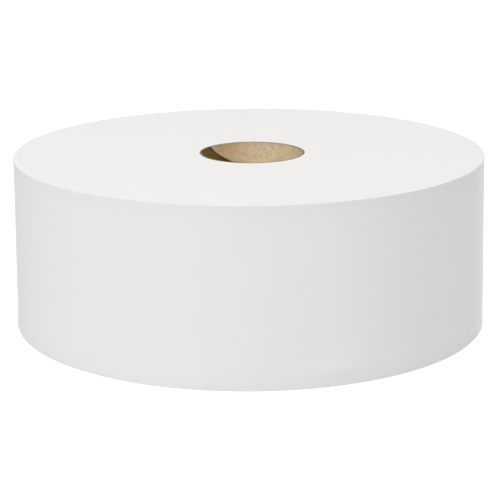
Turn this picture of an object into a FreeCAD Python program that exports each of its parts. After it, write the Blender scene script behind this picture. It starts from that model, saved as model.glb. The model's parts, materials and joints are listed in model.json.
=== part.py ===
# A jumbo toilet paper roll, standing on one of its cut ends.
#
# It is two pieces. The wound paper is one long two-ply web on its spiral: its outside is the last turn, which
# rises by one sheet in a turn and ends in the step of the tail, and both cut ends show rings where tighter and
# looser bands of turns meet. The core is a tube glued up from plies of board and sawn off level with the paper.
# Its inner ply runs round in a helix whose edges don't meet, so an open seam runs up the bore. The winding is a
# little fuller on one side, so the core sits off the middle, and the rings go from its centre to the centre of
# the outside.
#
# Millimetres, +Z up, origin at the centre of the base. Z runs up the middle of the outside, and the tail is at
# the back.
import FreeCAD, Part
import math
import os

import Sketcher

# What a user would change: name, value, what it is
SIZES = [
    ("roll_diameter", 260.0, "outside diameter, across the tail"),
    ("roll_width", 95.0, "length of the roll along its axis, as sawn"),
    ("sheet_thickness", 0.2, "thickness of the two-ply sheet, which is the step at the tail"),
    ("tail_bearing", 118.0, "where the tail ends, in degrees round from +X"),
    ("rim_ease", 0.9, "how far the soft outer rims are broken back"),
    ("core_bore", 56.0, "inside diameter of the core"),
    ("core_shift_x", 1.8, "how far the core sits off the middle of the roll, along X"),
    ("core_shift_y", -4.0, "how far the core sits off the middle of the roll, along Y"),
    ("board_ply", 0.35, "thickness of one ply of the core"),
    ("board_plies", 3.0, "number of plies in the wall of the core"),
    ("seam_gap", 12.0, "open seam between the edges of the inner ply, measured along the axis"),
    ("seam_lead", 122.0, "how far that seam climbs in one turn"),
    ("seam_bearing", 148.4, "where that seam begins at the upper end, in degrees round from +X"),
    ("ring_spacing", 18.0, "mean distance from one winding ring to the next"),
    ("ring_width", 0.8, "width of a winding ring"),
    ("ring_depth", 0.35, "depth of a winding ring"),
]
CUT_MARGIN = 1.0  # how far a cut is drawn past the surface that it cuts
RING_WANDER = 0.25  # how far the rings stray from even spacing, as a share of it
RING_WANDER_STEP = 2.4  # radians by which that stray advances from one ring to the next

CORE_RADIUS = "(Sizes.core_bore / 2 + Sizes.board_ply * Sizes.board_plies)"
OUTER_RADIUS = "(Sizes.roll_diameter / 2 + Sizes.sheet_thickness / 8)"
WOUND_DEPTH = f"(Sizes.roll_diameter / 2 - {CORE_RADIUS})"
HALF_WIDTH = "(Sizes.roll_width / 2)"

document = FreeCAD.newDocument("toilet_paper_roll")


def make_sizes_sheet():
    sheet = document.addObject("Spreadsheet::Sheet", "Sizes")
    for row, (alias, value, note) in enumerate(SIZES, start=1):
        sheet.set(f"A{row}", alias)
        sheet.set(f"B{row}", str(value))
        sheet.set(f"C{row}", note)
        sheet.setAlias(f"B{row}", alias)
    document.recompute()
    return sheet


sizes_sheet = make_sizes_sheet()


def size(expression):
    """The value that an expression on the sheet has now."""
    return float(sizes_sheet.evalExpression(expression))


def new_body(label):
    body = document.addObject("PartDesign::Body", label)
    body.Label = label
    return body


def origin_of(body, role):
    return next(feature for feature in body.Origin.OriginFeatures if feature.Role == role)


def new_sketch(body, name, plane):
    """An empty sketch on one of the body's own origin planes."""
    sketch = body.newObject("Sketcher::SketchObject", name)
    sketch.AttachmentSupport = [(origin_of(body, plane), "")]
    sketch.MapMode = "FlatFace"
    return sketch


def dimension(sketch, name, kind, elements, expression):
    """A named dimension of the sketch, tied to the sheet."""
    index = sketch.addConstraint(Sketcher.Constraint(kind, *elements, size(expression)))
    sketch.renameConstraint(index, name)
    sketch.setExpression("Constraints." + name, expression)


def draw_circle(sketch, name, radius, centre=None):
    """A circle about the origin, or about a centre that is given as a pair of expressions."""
    place = FreeCAD.Vector(*[size(distance) for distance in centre], 0) if centre else FreeCAD.Vector()
    circle = sketch.addGeometry(Part.Circle(place, FreeCAD.Vector(0, 0, 1), size(radius)))
    dimension(sketch, name, "Radius", (circle,), radius)
    if centre:
        dimension(sketch, name + "_x", "DistanceX", (-1, 1, circle, 3), centre[0])
        dimension(sketch, name + "_y", "DistanceY", (-1, 1, circle, 3), centre[1])
    else:
        sketch.addConstraint(Sketcher.Constraint("Coincident", circle, 3, -1, 1))


def draw_outline(sketch, name, corners):
    """A closed outline of straight lines. Each corner is a (radius, height) pair of expressions."""
    points = [FreeCAD.Vector(size(radius), size(height), 0) for radius, height in corners]
    lines = [
        sketch.addGeometry(Part.LineSegment(start, end))
        for start, end in zip(points, points[1:] + points[:1])
    ]
    for line, following in zip(lines, lines[1:] + lines[:1]):
        sketch.addConstraint(Sketcher.Constraint("Coincident", line, 2, following, 1))
    for corner, (line, (radius, height)) in enumerate(zip(lines, corners), start=1):
        dimension(sketch, f"{name}_radius_{corner}", "DistanceX", (-1, 1, line, 1), radius)
        dimension(sketch, f"{name}_height_{corner}", "DistanceY", (-1, 1, line, 1), height)


def draw_last_turn(sketch):
    """The outside of the winding: four quarter arcs, each smaller than the one before by a quarter of a sheet.

    Their centres stand on the corners of a small square round the axis, so each arc runs smoothly into the next,
    and a whole turn comes in by exactly one sheet. The short line that is left is the edge of the tail.
    """
    step = size("Sizes.sheet_thickness / 4")
    centres = [(step / 2, step / 2), (-step / 2, step / 2), (-step / 2, -step / 2), (step / 2, -step / 2)]
    arcs = []
    for quarter, (x, y) in enumerate(centres):
        circle = Part.Circle(FreeCAD.Vector(x, y, 0), FreeCAD.Vector(0, 0, 1), size(OUTER_RADIUS) - quarter * step)
        start = math.radians(90 * (quarter + 1))
        arcs.append(sketch.addGeometry(Part.ArcOfCircle(circle, start, start + math.pi / 2)))
    tail = sketch.addGeometry(Part.LineSegment(sketch.getPoint(arcs[-1], 2), sketch.getPoint(arcs[0], 1)))

    for arc, following in zip(arcs, arcs[1:]):
        sketch.addConstraint(Sketcher.Constraint("Tangent", arc, 2, following, 1))
    sketch.addConstraint(Sketcher.Constraint("Coincident", arcs[-1], 2, tail, 1))
    sketch.addConstraint(Sketcher.Constraint("Coincident", tail, 2, arcs[0], 1))
    sketch.addConstraint(Sketcher.Constraint("Vertical", arcs[0], 1, arcs[0], 3))
    for arc, direction in zip(arcs, ("Horizontal", "Vertical", "Horizontal", "Vertical")):
        sketch.addConstraint(Sketcher.Constraint(direction, arc, 2, arc, 3))

    dimension(sketch, "centre_across", "DistanceX", (-1, 1, arcs[0], 3), "Sizes.sheet_thickness / 8")
    dimension(sketch, "centre_along", "DistanceY", (-1, 1, arcs[0], 3), "Sizes.sheet_thickness / 8")
    for quarter, arc in enumerate(arcs):
        radius = f"{OUTER_RADIUS} - {quarter} * Sizes.sheet_thickness / 4"
        dimension(sketch, f"quarter_{quarter + 1}", "Radius", (arc,), radius)


def draw_rim_cut(sketch):
    """The corner that is missing where the rim of the roll is broken back."""
    inside = f"{OUTER_RADIUS} - Sizes.rim_ease - {CUT_MARGIN}"
    outside = f"{OUTER_RADIUS} + {CUT_MARGIN}"
    below = f"{HALF_WIDTH} - Sizes.rim_ease - {CUT_MARGIN}"
    above = f"{HALF_WIDTH} + {CUT_MARGIN}"
    draw_outline(sketch, "rim", [(inside, above), (outside, above), (outside, below)])


def draw_rings(sketch):
    """Two circles for each winding ring. Their centre moves from that of the core to that of the outside."""
    count = int(size(f"{WOUND_DEPTH} - Sizes.rim_ease - Sizes.ring_width") / size("Sizes.ring_spacing"))
    for ring in range(1, count + 1):
        place = ring - 0.5 + RING_WANDER * math.sin(RING_WANDER_STEP * ring)
        depth = f"{place:.3f} * Sizes.ring_spacing"
        nearness = f"(1 - {depth} / {WOUND_DEPTH})"
        centre = (f"Sizes.core_shift_x * {nearness}", f"Sizes.core_shift_y * {nearness}")
        draw_circle(sketch, f"ring_{ring}_inner", f"{CORE_RADIUS} + {depth} - Sizes.ring_width / 2", centre)
        draw_circle(sketch, f"ring_{ring}_outer", f"{CORE_RADIUS} + {depth} + Sizes.ring_width / 2", centre)


def bind_angle(item, name, degrees):
    """Ties an angle to the sheet, where angles are plain numbers of degrees."""
    item.setExpression(name, f"({degrees}) * 1 deg")


def stand_on_base(body):
    """Lifts a body that was drawn about its middle onto the ground."""
    body.Placement = FreeCAD.Placement(FreeCAD.Vector(0, 0, size(HALF_WIDTH)), FreeCAD.Rotation())
    body.setExpression("Placement.Base.z", HALF_WIDTH)


def make_wound_paper():
    body = new_body("wound_paper")
    outline = new_sketch(body, "turns_outline", "XY_Plane")
    draw_last_turn(outline)
    outline.AttachmentOffset = FreeCAD.Placement(FreeCAD.Vector(), FreeCAD.Rotation(FreeCAD.Vector(0, 0, 1), 1))
    bind_angle(outline, "AttachmentOffset.Rotation.Angle", "Sizes.tail_bearing - 90")
    turns = body.newObject("PartDesign::Pad", "turns")
    turns.Profile = outline
    turns.SideType = "Symmetric"
    turns.setExpression("Length", "Sizes.roll_width")

    start = new_sketch(body, "first_turn", "XY_Plane")
    draw_circle(start, "on_the_core", CORE_RADIUS, ("Sizes.core_shift_x", "Sizes.core_shift_y"))
    core_hole = body.newObject("PartDesign::Pocket", "core_hole")
    core_hole.Profile = start
    core_hole.SideType = "Symmetric"
    core_hole.setExpression("Length", f"Sizes.roll_width + 2 * {CUT_MARGIN}")

    corner = new_sketch(body, "rim_corner", "XZ_Plane")
    draw_rim_cut(corner)
    rim = body.newObject("PartDesign::Groove", "upper_rim")
    rim.Profile = corner
    rim.ReferenceAxis = (origin_of(body, "Z_Axis"), [""])
    rim.Angle = 360

    ring_outlines = new_sketch(body, "ring_outlines", "XY_Plane")
    draw_rings(ring_outlines)
    ring_outlines.setExpression("AttachmentOffset.Base.z", HALF_WIDTH)
    rings = body.newObject("PartDesign::Pocket", "upper_rings")
    rings.Profile = ring_outlines
    rings.setExpression("Length", "Sizes.ring_depth")

    both_ends = body.newObject("PartDesign::Mirrored", "both_ends")
    both_ends.Originals = [rim, rings]
    both_ends.MirrorPlane = (origin_of(body, "XY_Plane"), [""])
    body.Tip = both_ends

    stand_on_base(body)
    return body


def make_cardboard_core():
    body = new_body("cardboard_core")
    wall = new_sketch(body, "wall_section", "XY_Plane")
    draw_circle(wall, "outside", CORE_RADIUS)
    draw_circle(wall, "bore", "Sizes.core_bore / 2")
    tube = body.newObject("PartDesign::Pad", "tube")
    tube.Profile = wall
    tube.SideType = "Symmetric"
    tube.setExpression("Length", "Sizes.roll_width")

    gap = new_sketch(body, "seam_section", "XZ_Plane")
    inside = f"Sizes.core_bore / 2 - {CUT_MARGIN}"
    ply_joint = "Sizes.core_bore / 2 + Sizes.board_ply"
    low = f"{HALF_WIDTH} + {CUT_MARGIN}"
    high = f"{low} + Sizes.seam_gap"
    draw_outline(gap, "gap", [(inside, low), (ply_joint, low), (ply_joint, high), (inside, high)])
    seam = body.newObject("PartDesign::SubtractiveHelix", "open_seam")
    seam.Profile = gap
    seam.ReferenceAxis = (origin_of(body, "Z_Axis"), [""])
    seam.Mode = "pitch-height-angle"
    seam.Reversed = True
    seam.setExpression("Pitch", "Sizes.seam_lead")
    seam.setExpression("Height", f"Sizes.roll_width + Sizes.seam_gap + 2 * {CUT_MARGIN}")
    body.Tip = seam

    stand_on_base(body)
    body.setExpression("Placement.Base.x", "Sizes.core_shift_x")
    body.setExpression("Placement.Base.y", "Sizes.core_shift_y")
    ahead = f"360 * ({CUT_MARGIN} + Sizes.seam_gap) / Sizes.seam_lead"
    bind_angle(body, "Placement.Rotation.Angle", f"Sizes.seam_bearing + {ahead}")
    return body


def check_document():
    """Stops if any object failed, which a recompute doesn't report by itself."""
    document.recompute()
    failed = [item.Name for item in document.Objects if {"Invalid", "Error"} & set(item.State)]
    if failed:
        raise RuntimeError("these objects failed: " + ", ".join(failed))


def export_bodies(bodies):
    os.makedirs("parts", exist_ok=True)
    for body in bodies:
        if body.Shape.isNull() or not body.Shape.isValid():
            raise RuntimeError(body.Label + " has no valid shape")
        body.Shape.exportStep(os.path.join("parts", body.Label + ".step"))
        print(body.Label, f"{body.Shape.Volume / 1000:.2f} cm3", body.Shape.BoundBox)


bodies = [make_wound_paper(), make_cardboard_core()]
check_document()
export_bodies(bodies)
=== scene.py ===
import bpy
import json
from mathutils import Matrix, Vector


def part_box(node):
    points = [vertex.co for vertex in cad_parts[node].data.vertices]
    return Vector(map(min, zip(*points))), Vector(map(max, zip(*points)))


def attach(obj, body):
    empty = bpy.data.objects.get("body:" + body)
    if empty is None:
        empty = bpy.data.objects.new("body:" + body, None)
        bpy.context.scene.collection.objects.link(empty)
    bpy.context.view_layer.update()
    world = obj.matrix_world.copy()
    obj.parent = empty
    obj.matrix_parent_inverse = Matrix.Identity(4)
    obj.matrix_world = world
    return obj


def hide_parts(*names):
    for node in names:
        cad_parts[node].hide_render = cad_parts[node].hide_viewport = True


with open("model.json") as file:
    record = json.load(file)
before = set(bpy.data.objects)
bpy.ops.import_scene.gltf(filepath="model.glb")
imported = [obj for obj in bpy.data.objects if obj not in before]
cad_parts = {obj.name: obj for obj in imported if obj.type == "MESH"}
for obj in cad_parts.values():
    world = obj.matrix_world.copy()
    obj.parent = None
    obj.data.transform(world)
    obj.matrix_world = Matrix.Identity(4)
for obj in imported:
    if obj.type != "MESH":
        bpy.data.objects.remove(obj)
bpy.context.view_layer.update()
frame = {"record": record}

import json
import math

import bmesh
import bpy
from mathutils import Matrix, Vector, noise

paperLow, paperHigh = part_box("wound_paper")
rollHeight = paperHigh.z
rollRadius = (paperHigh.x - paperLow.x) / 2
coreLow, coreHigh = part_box("cardboard_core")
coreRadius = (coreHigh.x - coreLow.x) / 2
coreShift = coreLow.lerp(coreHigh, 0.5).xy  # the core sits a little off the middle of the roll
spindleBore = next(mount for mount in frame["record"]["mounts"] if mount["name"] == "spindle_bore")
boreRadius = spindleBore["dims"]["r_mm"] / 1000
fullTurn = 2 * math.pi
print("frame loaded: roll radius", round(rollRadius, 5), "height", round(rollHeight, 5), "core at", coreShift)


# Shader maths, written as expressions on sockets
class Wire:
    def __init__(self, shader, socket):
        self.shader = shader
        self.socket = socket

    def out(self, output):  # another output of the same node
        return Wire(self.shader, self.socket.node.outputs[output])

    def maths(self, operation, *values):
        return self.shader.node("ShaderNodeMath", {"operation": operation}, dict(enumerate(values)))

    def __add__(self, other):
        return self.maths("ADD", self, other)

    def __sub__(self, other):
        return self.maths("SUBTRACT", self, other)

    def __mul__(self, other):
        return self.maths("MULTIPLY", self, other)

    def __truediv__(self, other):
        return self.maths("DIVIDE", self, other)

    def __pow__(self, other):
        return self.maths("POWER", self, other)

    def __radd__(self, other):
        return self.maths("ADD", other, self)

    def __rsub__(self, other):
        return self.maths("SUBTRACT", other, self)

    def __rmul__(self, other):
        return self.maths("MULTIPLY", other, self)

    def __rtruediv__(self, other):
        return self.maths("DIVIDE", other, self)

    def __rpow__(self, other):
        return self.maths("POWER", other, self)

    def __abs__(self):
        return self.maths("ABSOLUTE", self)


class Shader:
    def __init__(self, name=None, world=None):
        self.owner = world or bpy.data.materials.new(name)
        self.owner.use_nodes = True
        self.tree = self.owner.node_tree
        self.tree.nodes.clear()

    def node(self, kind, settings={}, sockets={}, output=0):
        made = self.tree.nodes.new(kind)
        for name, value in settings.items():
            setattr(made, name, value)
        for name, value in sockets.items():
            if isinstance(value, Wire):
                self.tree.links.new(value.socket, made.inputs[name])
            else:
                made.inputs[name].default_value = value
        return Wire(self, made.outputs[output]) if made.outputs else None

    def blendColours(self, factor, first, second):
        return self.node("ShaderNodeMix", {"data_type": "RGBA"}, {0: factor, 6: first, 7: second}, output=2)

    def grain(self, place, scale, detail, roughness=0.5):
        sockets = {"Vector": place, "Scale": scale, "Detail": detail, "Roughness": roughness}
        return self.node("ShaderNodeTexNoise", {}, sockets)

    def joined(self, x, y, z):
        return self.node("ShaderNodeCombineXYZ", {}, {0: x, 1: y, 2: z})

    def parted(self, vector):
        x = self.node("ShaderNodeSeparateXYZ", {}, {0: vector})
        return x, x.out("Y"), x.out("Z")

    def rise(self, value, low, high, top=1.0):  # 0 up to low, rising to top at high
        sockets = {"Value": value, "From Min": low, "From Max": high, "To Max": top}
        return self.node("ShaderNodeMapRange", {}, sockets)

    def mattFinish(self, tint, relief, look):  # relief in metres, look the dictionary of the piece
        bump = self.node("ShaderNodeBump", {}, {"Height": relief, "Distance": 1.0, "Strength": 1.0})
        surface = self.node("ShaderNodeBsdfPrincipled", {}, {
            "Base Color": tint,
            "Roughness": look["roughness"],
            "Specular IOR Level": look["gloss"],
            "Normal": bump,
        })
        self.node("ShaderNodeOutputMaterial", {}, {"Surface": surface})
        return self.owner

    def uprightness(self):  # 1 where the surface looks straight up or down, and 0 on a wall
        normal = self.node("ShaderNodeNewGeometry", {}, {}, "Normal")
        return abs(self.parted(normal)[2])

    def cameraShare(self):  # 1 for the camera's own rays, and those that it sees a shiny or clear surface by
        straight = self.node("ShaderNodeLightPath", {}, {}, "Is Camera Ray")
        shiny = straight.maths("MAXIMUM", straight, straight.out("Is Glossy Ray"))
        return straight.maths("MAXIMUM", shiny, straight.out("Is Transmission Ray"))


def colour(red, green, blue):
    return (red, green, blue, 1.0)


def intoScene(name, shape):
    made = bpy.data.objects.new(name, shape)
    bpy.context.scene.collection.objects.link(made)
    return made


black = colour(0, 0, 0)
# How upright a surface is where it begins to look like a cut end, and where it fully does
endSlopes = (0.4, 0.9)


# The tissue: two-ply, bright white, creped across the web and sawn through at both ends
tissue = {
    "white": colour(0.866, 0.860, 0.883),
    "shade": colour(0.857, 0.850, 0.867),
    "endWhite": colour(0.884, 0.873, 0.869),     # the cut ends are a little warmer than the wall
    "endShade": colour(0.875, 0.863, 0.853),
    "rimShade": 0.2,             # painted shade: how much darker the upper rim is
    "edgeShade": 0.03,           # painted shade: how much darker the wall is just below the upper rim
    "edgeDepth": 0.006,          # the depth over which that fades
    "roughness": 0.95,
    "gloss": 0.2,
    "crepeScale": 900.0,         # how many noise cells to a metre round the roll
    "crepeStretch": 0.08,        # how much slower the crepe changes along the web's width
    "crepeHeight": 0.00002,
    "edgeLineScale": 1400.0,     # the cut edges of the turns, seen on the ends
    "edgeLineHeight": 0.00002,
    "edgeLineDrift": 0.004,      # how much those lines change along themselves
    "cloudScale": 14.0,          # broad clouds, from the white to the shade
}


def tissueFinish():
    shader = Shader("tissueFinish")
    place = shader.node("ShaderNodeTexCoord", {}, {}, "Object")
    x, y, z = shader.parted(place)
    fromMiddle = (x * x + y * y) ** 0.5
    nearCore = 1 - fromMiddle / rollRadius  # the turns close in on the core, which is off the middle
    offX = x - nearCore * coreShift.x
    offY = y - nearCore * coreShift.y
    radius = (offX * offX + offY * offY) ** 0.5
    upright = shader.uprightness()
    onEnd = shader.rise(upright, *endSlopes)

    crepePlace = shader.joined(x, y, z * tissue["crepeStretch"])
    crepe = shader.grain(crepePlace, tissue["crepeScale"], detail=3.0)
    linePlace = shader.joined(radius, x * tissue["edgeLineDrift"], y * tissue["edgeLineDrift"])
    lines = shader.grain(linePlace, tissue["edgeLineScale"], detail=3.0, roughness=0.6)
    relief = crepe * (1 - onEnd) * tissue["crepeHeight"] + lines * onEnd * tissue["edgeLineHeight"]

    clouds = shader.grain(place, tissue["cloudScale"], detail=3.0, roughness=0.55)
    wallTint = shader.blendColours(clouds, tissue["white"], tissue["shade"])
    endTint = shader.blendColours(clouds, tissue["endWhite"], tissue["endShade"])
    tint = shader.blendColours(onEnd, wallTint, endTint)
    square = upright * upright
    paintedRimShade = (4 * tissue["rimShade"] / rollHeight) * z * square * (1 - square)  # painted shade, most half way round the rim
    below = (z - rollHeight) / tissue["edgeDepth"]
    # painted shade on the upper rim and on the wall just below it
    keep = 1 - paintedRimShade - (1 - onEnd) * tissue["edgeShade"] * z.maths("EXPONENT", below)
    return shader.mattFinish(shader.blendColours(keep, black, tint), relief, tissue)


# The board of the core: recycled fibre, matt and mottled, light on the inner ply and dark on the others, a
# dark that is painted shade where they show in the inner ply's open seam. A painted shadow is darkest along
# the inner ply's edge. The sawn ends are grey, as painted shade.
board = {
    "innerPale": colour(0.865, 0.720, 0.500),
    "innerDeep": colour(0.690, 0.545, 0.340),
    # the plies behind the inner one: their dark, seen in its open seam, is painted shade
    "backPale": colour(0.460, 0.312, 0.118),
    "backDeep": colour(0.335, 0.205, 0.063),
    # painted shadow along the inner ply's edge, and how far across the open seam it reaches
    "seamShadow": colour(0.080, 0.048, 0.012),
    "seamShadowWidth": 0.0016,
    # painted shade: the grey of the sawn ends, which face up
    "sawn": colour(0.260, 0.225, 0.205),
    "sawShade": 0.25,            # painted shade: how much darker the board is just inside its sawn ends
    "sawDepth": 0.0016,          # the depth over which that fades
    "roughness": 0.9,
    "gloss": 0.2,
    "mottleScale": 420.0,
    "mottleSpan": (0.36, 0.64),  # the noise at which the board is palest, and deepest
    "fibreScale": 1500.0,
    "fibreStretch": 0.25,        # how much slower the fibres change along themselves
    "fibreShare": 0.5,           # of the relief, beside the mottle's
    "fibreHeight": 0.00004,
    "fleckScale": 900.0,
    "fleckSpan": (0.68, 0.74),   # the noise at which a dark fleck begins to show, and fully does
    "fleckDepth": 0.35,
    # On the inner ply: bearing in degrees, depth below the upper end, size, colour, strength
    "marks": (
        (118, 0.003, 0.0080, colour(0.730, 0.475, 0.260), 0.60),
        (141, 0.000, 0.0028, colour(0.860, 0.840, 0.680), 0.85),
        (47, 0.005, 0.0060, colour(0.700, 0.620, 0.330), 0.35),
    ),
}


def seamShadowLine(shader, x, y, z):  # painted shadow: 1 at the edge of the inner ply, fading across the open seam below it
    offX = x - coreShift.x
    bearing = offX.maths("ARCTAN2", y - coreShift.y, offX)
    edge = (math.radians(core["seamBearing"]) - bearing) * (core["lead"] / fullTurn)
    below = x.maths("FLOORED_MODULO", rollHeight - z - edge, core["lead"])
    return x.maths("EXPONENT", 0 - below / board["seamShadowWidth"])


def addMarks(shader, place, tint):
    for bearing, depth, size, markColour, strength in board["marks"]:
        across = math.radians(bearing)
        wall = coreShift + boreRadius * Vector((math.cos(across), math.sin(across)))
        middle = (wall.x, wall.y, rollHeight - depth)
        away = shader.node("ShaderNodeVectorMath", {"operation": "DISTANCE"}, {0: place, 1: middle}, "Value")
        share = away.maths("EXPONENT", 0 - (away / size) ** 2) * strength
        tint = shader.blendColours(share, tint, markColour)
    return tint


def boardFinish(name, pale, deep, seamShaded):
    shader = Shader(name)
    place = shader.node("ShaderNodeTexCoord", {}, {}, "Object")
    x, y, z = shader.parted(place)
    mottle = shader.grain(place, board["mottleScale"], detail=4.0, roughness=0.65)
    fibrePlace = shader.joined(x * board["fibreStretch"], y, z)
    fibres = shader.grain(fibrePlace, board["fibreScale"], detail=3.0, roughness=0.6)
    specks = shader.grain(place, board["fleckScale"], detail=1.0)
    flecks = shader.rise(specks, *board["fleckSpan"], top=board["fleckDepth"])
    relief = (mottle + board["fibreShare"] * fibres) * board["fibreHeight"]
    tint = shader.blendColours(shader.rise(mottle, *board["mottleSpan"]), pale, deep)
    if seamShaded:
        # painted shadow along the inner ply's edge
        tint = shader.blendColours(seamShadowLine(shader, x, y, z), tint, board["seamShadow"])
    else:
        tint = addMarks(shader, place, tint)
    flecked = shader.blendColours(flecks, tint, board["backDeep"])
    # painted shade just inside the sawn ends
    fromEnd = rollHeight / 2 - abs(z - rollHeight / 2)
    keep = 1 - board["sawShade"] * z.maths("EXPONENT", 0 - fromEnd / board["sawDepth"])
    shaded = shader.blendColours(keep, black, flecked)
    # the sawn ends take the painted grey shade
    onEnd = shader.rise(shader.uprightness(), *endSlopes)
    return shader.mattFinish(shader.blendColours(onEnd, shaded, board["sawn"]), relief, board)


# The wound paper: one mesh that goes round the roll from under the loose tail, over the turns below it and
# out along the tail itself. A column is one bearing round the roll, and a level one step down its outside.
winding = {
    "columns": 320,
    "sheet": 0.0002,             # one sheet, by which the outside comes in over a turn
    "trueTurn": 0.125,           # turns in from the tail's end, where the outside is at the roll's radius
    "tailBearing": 118.0,        # degrees round from +X, where the tail ends
    "tailLoose": 0.045,          # the length of sheet that has come away from the roll
    "tailColumns": 24,
    "tailSquare": 4,             # the columns over which the rounded rim gives way to the tail's cut edge
    "tailLift": 0.0008,
    "tailCurl": 0.0004,          # how much further the corners of the tail stand out
    "tailDrop": 0.0008,          # how far the edge of the tail lies below the ends of the roll
    "rimRound": 0.0004,
    "rimLevels": 5,
    "wallLevels": 44,
    "rimMargin": 0.0012,         # how far inside the rim the rings of a cut end stop
    "faceRings": 104,
    "boreGap": 0.00006,
    "bandHeight": 0.00003,       # faint upright bands, where the sheet was drawn tighter
    "bandPitch": 0.010,
    "bandChanges": 2.0,          # how often they change up the wall
    "dentHeight": 0.0003,        # dents low on the wall, where the roll was stood down
    "dentPlace": 7.0,            # the place in the noise that they are taken from
    "dentDepth": 0.02,           # how far up the wall they fade
    "dentLength": 0.035,
    "dentWidth": 0.014,
    "baseSpread": 0.0014,        # how much further out the roll stands at its base than at its upper end
    "baseLean": 0.0004,          # how much more than that it does so towards +X
    "flare": 0.0002,             # how far the saw drew the upper rim out
    "flareDepth": 0.005,
    "ringSpacing": 0.018,        # the winding rings in the cut ends
    "ringMargin": 0.0017,        # no ring lies nearer the outside than this
    "ringWander": 0.25,          # how uneven their spacing is
    "ringWanderStep": 2.4,
    "ringDepth": 0.00006,
    "ringWidth": 0.0022,
    # In the wall: bearing in degrees, height up the wall, half length, half width, how far proud
    "folds": (
        (290.0, 0.0085, 0.013, 0.0035, 0.0006),
        (307.5, 0.0190, 0.005, 0.0030, -0.0003),
        (227.0, 0.0090, 0.005, 0.0025, 0.0003),
    ),
}
windDepth = rollRadius - coreRadius


def sheetRadius(turned):  # the outside of the sheet, so many turns in from the end of the tail
    return rollRadius + winding["sheet"] * (winding["trueTurn"] - turned)


def foldSwell(bearing, z):  # how far the folds stand proud
    swell = 0.0
    for place, height, halfLength, halfWidth, proud in winding["folds"]:
        along = rollRadius * math.remainder(bearing - math.radians(place), fullTurn) / halfLength
        up = (z - height) / halfWidth
        swell += proud * math.exp(-along ** 2 - up ** 2)
    return swell


def wallSwell(bearing, z):  # how far the outside stands proud of its true cylinder
    east = rollRadius * math.cos(bearing)
    north = rollRadius * math.sin(bearing)
    pitch = winding["bandPitch"]
    bands = noise.noise(Vector((east / pitch, north / pitch, winding["bandChanges"] * z / rollHeight)))
    length = winding["dentLength"]
    start = winding["dentPlace"]
    dents = noise.noise(Vector((east / length + start, north / length, z / winding["dentWidth"])))
    lowDown = math.exp(-z / winding["dentDepth"])
    spread = (winding["baseSpread"] + winding["baseLean"] * math.cos(bearing)) * (1 - z / rollHeight)
    flare = winding["flare"] * math.exp((z - rollHeight) / winding["flareDepth"])
    uneven = winding["bandHeight"] * bands + winding["dentHeight"] * dents * lowDown
    return uneven + foldSwell(bearing, z) + spread + flare


def ringDepths():  # how far out from the core the winding rings lie
    count = int((windDepth - winding["ringMargin"]) / winding["ringSpacing"])
    depths = []
    for number in range(1, count + 1):
        wander = winding["ringWander"] * math.sin(winding["ringWanderStep"] * number)
        depths.append((number - 0.5 + wander) * winding["ringSpacing"])
    return depths


def faceRelief(depth, rings):  # how far a cut end stands back from its plane
    relief = 0.0
    for ring in rings:
        away = abs(depth - ring) / (winding["ringWidth"] / 2)
        if away < 1:
            relief += winding["ringDepth"] * (0.5 + 0.5 * math.cos(math.pi * away))
    return relief


def rimProfile():  # (inset, height) pairs down the outside, from the upper end to the lower one
    rim = winding["rimRound"]
    levels = []
    for step in range(winding["rimLevels"] + 1):
        slant = step / winding["rimLevels"] * math.pi / 2
        levels.append((rim * (1 - math.sin(slant)), rollHeight - rim * (1 - math.cos(slant))))
    wall = winding["wallLevels"]
    for step in range(1, wall):
        levels.append((0.0, rollHeight - rim - (rollHeight - 2 * rim) * step / wall))
    return levels + [(inset, rollHeight - z) for inset, z in reversed(levels[:winding["rimLevels"] + 1])]


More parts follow.
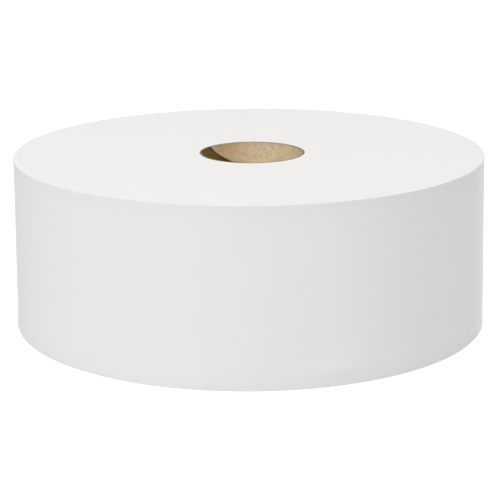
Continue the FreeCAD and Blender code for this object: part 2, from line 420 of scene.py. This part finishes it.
def buildWinding():
    corners = []
    faces = []

    def corner(radius, bearing, z, middle=Vector((0, 0))):
        corners.append((middle.x + radius * math.cos(bearing), middle.y + radius * math.sin(bearing), z))
        return len(corners) - 1

    def strip(one, other, closed=False):  # a row of four-sided faces between two rows of corners
        pairs = len(one) if closed else len(one) - 1
        for place in range(pairs):
            following = (place + 1) % len(one)
            faces.append((one[place], one[following], other[following], other[place]))

    columns = winding["columns"]
    looseTurn = winding["tailLoose"] / rollRadius / fullTurn
    root = math.radians(winding["tailBearing"]) + looseTurn * fullTurn
    profile = rimProfile()

    # From the root, clockwise under the tail and right round to the root again, one sheet further out
    wall = []
    for column in range(columns + 1):
        turned = looseTurn + 1 - column / columns
        bearing = root - fullTurn * column / columns
        wall.append([
            corner(sheetRadius(turned) - inset + wallSwell(bearing, z), bearing, z) for inset, z in profile
        ])

    # The tail, its outer face and then its inner one
    outer = [wall[columns]]
    inner = [wall[0]]
    count = winding["tailColumns"]
    drop = winding["tailDrop"]
    for step in range(1, count + 1):
        along = step / count
        bearing = root - looseTurn * fullTurn * along
        turned = looseTurn * (1 - along)
        square = min(1.0, along * count / winding["tailSquare"])
        over = []
        under = []
        for inset, z in profile:
            z = z + square * (min(max(z, drop), rollHeight - drop) - z)
            fromMiddle = abs(2 * z / rollHeight - 1)
            lift = (winding["tailLift"] + winding["tailCurl"] * fromMiddle ** 3) * along ** 2
            radius = sheetRadius(turned) - inset * (1 - square) + wallSwell(bearing, z) + lift
            over.append(corner(radius, bearing, z))
            under.append(corner(radius - winding["sheet"], bearing, z))
        outer.append(over)
        inner.append(under)

    # The cut ends, in rings that close in on the core
    rings = ringDepths()
    first = coreRadius + winding["boreGap"]
    last = sheetRadius(1.0) - winding["rimRound"] - winding["rimMargin"]
    ends = {}
    for name, height, inwards in (("upper", rollHeight, -1), ("lower", 0.0, 1)):
        ends[name] = []
        for ring in range(winding["faceRings"] + 1):
            radius = first + (last - first) * ring / winding["faceRings"]
            depth = radius - coreRadius
            middle = coreShift * (1 - depth / windDepth)
            z = height + inwards * faceRelief(depth, rings)
            ends[name].append([
                corner(radius, root - fullTurn * column / columns, z, middle) for column in range(columns)
            ])

    # The faces of the wall, then those of the tail
    for column in range(columns):
        strip(wall[column], wall[column + 1])
    for step in range(count):
        strip(outer[step], outer[step + 1])
        strip(inner[step + 1], inner[step])
        for level in (0, -1):
            row = (outer[step][level], outer[step + 1][level], inner[step + 1][level], inner[step][level])
            faces.append(row if level else row[::-1])
    strip(outer[count], inner[count])

    # The faces of the cut ends, with the step at the root, and those of the hole that the core fills
    for name, level in (("upper", 0), ("lower", -1)):
        rows = ends[name]
        for ring in range(winding["faceRings"]):
            pair = (rows[ring], rows[ring + 1]) if level == 0 else (rows[ring + 1], rows[ring])
            strip(*pair, closed=True)
        edge = [wall[column][level] for column in range(columns + 1)]
        around = rows[-1] + [rows[-1][0]]
        pair = (around, edge) if level == 0 else (edge, around)
        strip(*pair)
        step = (rows[-1][0], edge[-1], edge[0])
        faces.append(step if level == 0 else step[::-1])
    strip(ends["lower"][0], ends["upper"][0], closed=True)
    return corners, faces


# The core: plies of board, each a strip wound in a helix, one on the other, glued and sawn off square.
# The edges of the inner ply don't meet, and the ply behind it shows in the gap, dark as painted shade.
core = {
    "plies": ("innerPly", "middlePly", "outerPly"),
    "lead": 0.122,               # how far a seam climbs in one turn
    "openSeam": 0.012,           # the gap in the inner ply, along the axis
    "closeSeam": 0.0003,         # the gap in the others
    "seamBearing": 148.4,        # degrees round from +X, where the inner ply's edge meets the upper end
    "edgeWobble": 0.0008,        # how far the inner ply's edge wanders
    "edgeWaves": 6,              # how often it does that in a turn
    "seamStep": 130.0,           # degrees from one ply's seam to the next one's
    "glueGap": 0.00002,
    "columns": 120,              # to a turn
    "rows": 16,                  # across a strip
    "waviness": 0.00008,
    "wavePitch": 0.02,
    "sawTolerance": 0.0000001,
}


def plySheet(seamBearing, gap, wobble):  # one ply laid flat, its bearings along X and its heights along Y
    flat = bmesh.new()
    width = core["lead"] - gap
    rows = core["rows"]
    turns = 1 + rollHeight / core["lead"]
    count = math.ceil(turns * core["columns"])
    grid = []
    for column in range(count + 1):
        turn = turns * column / count
        bearing = seamBearing - fullTurn * turn
        low = rollHeight - core["lead"] * turn + wobble * (1 - math.sin(core["edgeWaves"] * fullTurn * turn))
        grid.append([
            flat.verts.new((bearing, low + width * step / rows, 0)) for step in range(rows + 1)
        ])
    for one, other in zip(grid, grid[1:]):
        for step in range(rows):
            flat.faces.new((one[step], other[step], other[step + 1], one[step + 1]))
    for height, outwards in ((0, -1), (rollHeight, 1)):  # sawn off level with the roll's ends
        everything = flat.verts[:] + flat.edges[:] + flat.faces[:]
        bmesh.ops.bisect_plane(flat, geom=everything, dist=core["sawTolerance"], plane_co=(0, height, 0),
                               plane_no=(0, outwards, 0), clear_outer=True)
    return flat


def buildPly(number):
    thickness = (coreRadius - boreRadius) / len(core["plies"])
    gap = core["closeSeam"] if number else core["openSeam"]
    wobble = 0.0 if number else core["edgeWobble"]
    flat = plySheet(math.radians(core["seamBearing"] + core["seamStep"] * number), gap, wobble)
    flat.verts.index_update()
    low = boreRadius + thickness * number + core["glueGap"] / 2
    high = low + thickness - core["glueGap"]
    calm = number / (len(core["plies"]) - 1)  # the plies are less wavy outwards, and the last one isn't
    corners = []
    for radius in (low, high):
        for bearing, height, _ in (vert.co for vert in flat.verts):
            around = Vector((math.cos(bearing), math.sin(bearing), 0)) * boreRadius
            wave = noise.noise((around + Vector((0, 0, height))) / core["wavePitch"])
            stand = radius + core["waviness"] * (wave - 1) * (1 - calm)
            east = coreShift.x + stand * math.cos(bearing)
            north = coreShift.y + stand * math.sin(bearing)
            corners.append((east, north, height))
    outside = len(flat.verts)
    faces = []
    for face in flat.faces:
        loop = [vert.index for vert in face.verts]
        faces.append(loop)
        faces.append([outside + index for index in reversed(loop)])
    for edge in flat.edges:
        if edge.is_boundary:
            loop = edge.link_loops[0]
            start, end = loop.vert.index, loop.link_loop_next.vert.index
            faces.append([end, start, outside + start, outside + end])
    flat.free()
    return corners, faces


meshing = {
    "weldDistance": 0.000001,
    "sharpAngle": 40,            # degrees, the bend from which an edge is shaded sharp
}


def addPiece(name, corners, faces, finish, slotName, nodeName):
    mesh = bpy.data.meshes.new(name)
    mesh.from_pydata(corners, [], faces)
    mesh.validate()
    shell = bmesh.new()
    shell.from_mesh(mesh)
    bmesh.ops.remove_doubles(shell, verts=shell.verts[:], dist=meshing["weldDistance"])
    bmesh.ops.recalc_face_normals(shell, faces=shell.faces[:])  # they all look outwards
    shell.to_mesh(mesh)
    shell.free()
    mesh.update()
    mesh.shade_smooth()
    mesh.set_sharp_from_angle(angle=math.radians(meshing["sharpAngle"]))
    mesh.materials.append(finish)
    piece = intoScene(name, mesh)
    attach(piece, "root")
    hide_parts(nodeName)
    print(name, "has", len(mesh.polygons), "faces")


addPiece("woundTissue", *buildWinding(), tissueFinish(), "tissue", "wound_paper")
innerFinish = boardFinish("innerBoard", board["innerPale"], board["innerDeep"], False)
backFinish = boardFinish("backBoard", board["backPale"], board["backDeep"], True)
for number, plyName in enumerate(core["plies"]):
    finish = backFinish if number else innerFinish
    addPiece(plyName, *buildPly(number), finish, "core_board", "cardboard_core")


# The floor is pale to the camera and throws back only a little light. Seen from below it isn't there, and the
# rays that leave the roll's base pass through it, because the base would be black from there without them.
ground = {
    "size": 30.0,
    "bounce": colour(0.3, 0.3, 0.3),
    "paleness": 0.93,            # a glow that only the camera sees
    "clearance": 0.0015,         # rays no longer than this pass through
}


def makeGround():
    shader = Shader("groundFinish")
    level = shader.cameraShare() * ground["paleness"]
    glow = shader.node("ShaderNodeEmission", {}, {"Color": colour(1, 1, 1), "Strength": level})
    matt = shader.node("ShaderNodeBsdfDiffuse", {}, {"Color": ground["bounce"]})
    both = shader.node("ShaderNodeAddShader", {}, {0: matt, 1: glow})
    clear = shader.node("ShaderNodeBsdfTransparent")
    fromBelow = shader.node("ShaderNodeNewGeometry", {}, {}, "Backfacing")
    rayLength = shader.node("ShaderNodeLightPath", {}, {}, "Ray Length")
    near = rayLength.maths("LESS_THAN", rayLength, ground["clearance"])
    through = near.maths("MAXIMUM", fromBelow, near)
    surface = shader.node("ShaderNodeMixShader", {}, {0: through, 1: both, 2: clear})
    shader.node("ShaderNodeOutputMaterial", {}, {"Surface": surface})

    half = ground["size"] / 2
    corners = [(-half, -half, 0), (half, -half, 0), (half, half, 0), (-half, half, 0)]
    mesh = bpy.data.meshes.new("ground")
    mesh.from_pydata(corners, [], [(0, 1, 2, 3)])
    mesh.materials.append(shader.owner)
    floor = intoScene("ground", mesh)


# Lamps: bearing in degrees (0 is the camera's side, positive to its right), elevation in degrees, distance,
# width and height, and the light that a white card facing the lamp at the roll would send back (1 is white)
lowCard = {"elevation": 3.5, "distance": 0.7, "size": (0.3, 0.07)}
lamps = {
    "key": {"bearing": -22, "elevation": 16.7, "distance": 3.0, "size": (0.15, 0.15), "level": 0.45},
    "above": {"bearing": 0, "elevation": 90, "distance": 3.0, "size": (0.4, 0.4), "level": 0.43},
    "leftCard": {**lowCard, "bearing": -80, "level": 0.12},
    "rightCard": {**lowCard, "bearing": 40, "level": 0.1},
    "farRightCard": {**lowCard, "bearing": 90, "level": 0.07},
    "backRightCard": {**lowCard, "bearing": 120, "level": 0.29},
    "backLeftCard": {**lowCard, "bearing": -150, "level": 0.1},
    "backCard": {**lowCard, "bearing": -162, "level": 0.19},
}
surroundings = {"level": 0.41}  # the light from all round


def makeSurroundings():  # white to the camera, and dimmer as a light
    world = bpy.data.worlds.new("studio")
    bpy.context.scene.world = world
    shader = Shader(world=world)
    level = surroundings["level"] + shader.cameraShare() * (1 - surroundings["level"])
    glow = shader.node("ShaderNodeBackground", {}, {"Color": colour(1, 1, 1), "Strength": level})
    shader.node("ShaderNodeOutputWorld", {}, {"Surface": glow})


def addLamp(name, bearing, elevation, distance, size, level):
    light = bpy.data.lights.new(name, "AREA")
    light.shape = "RECTANGLE"
    light.size, light.size_y = size
    light.energy = level * math.pi ** 2 * distance ** 2
    lamp = intoScene(name, light)
    across = math.radians(bearing)
    up = math.radians(elevation)
    towards = Vector((math.sin(across) * math.cos(up), -math.cos(across) * math.cos(up), math.sin(up)))
    lamp.location = towards * distance
    lamp.rotation_mode = "QUATERNION"
    lamp.rotation_quaternion = towards.to_track_quat("Z", "Y")
    lamp.visible_camera = False


makeGround()
print("ground laid", ground["size"], "m across")
makeSurroundings()
for lampName, settings in lamps.items():
    addLamp(lampName, **settings)
print("lit by", len(lamps), "lamps")

# The camera stands where the photograph was taken from
photoView = {
    "place": (0.0, -0.95656, 0.29524),
    "lens": 126.34,
    "sensor": 36.0,
    "pitch": 15.063,             # degrees down from level
    "yaw": -0.017,
    "roll": -0.325,
}


def addCamera():
    lens = bpy.data.cameras.new("photoCamera")
    lens.lens = photoView["lens"]
    lens.sensor_width = photoView["sensor"]
    lens.clip_start = 0.05
    lens.clip_end = 60.0
    camera = intoScene("photoCamera", lens)
    turn = Matrix.Rotation(math.radians(photoView["yaw"]), 4, "Z")
    tilt = Matrix.Rotation(math.radians(90 - photoView["pitch"]), 4, "X")
    roll = Matrix.Rotation(math.radians(photoView["roll"]), 4, "Z")
    camera.matrix_world = Matrix.Translation(photoView["place"]) @ turn @ tilt @ roll
    bpy.context.scene.camera = camera


addCamera()
bpy.context.scene.view_settings.view_transform = "Standard"
print("camera at", photoView["place"])
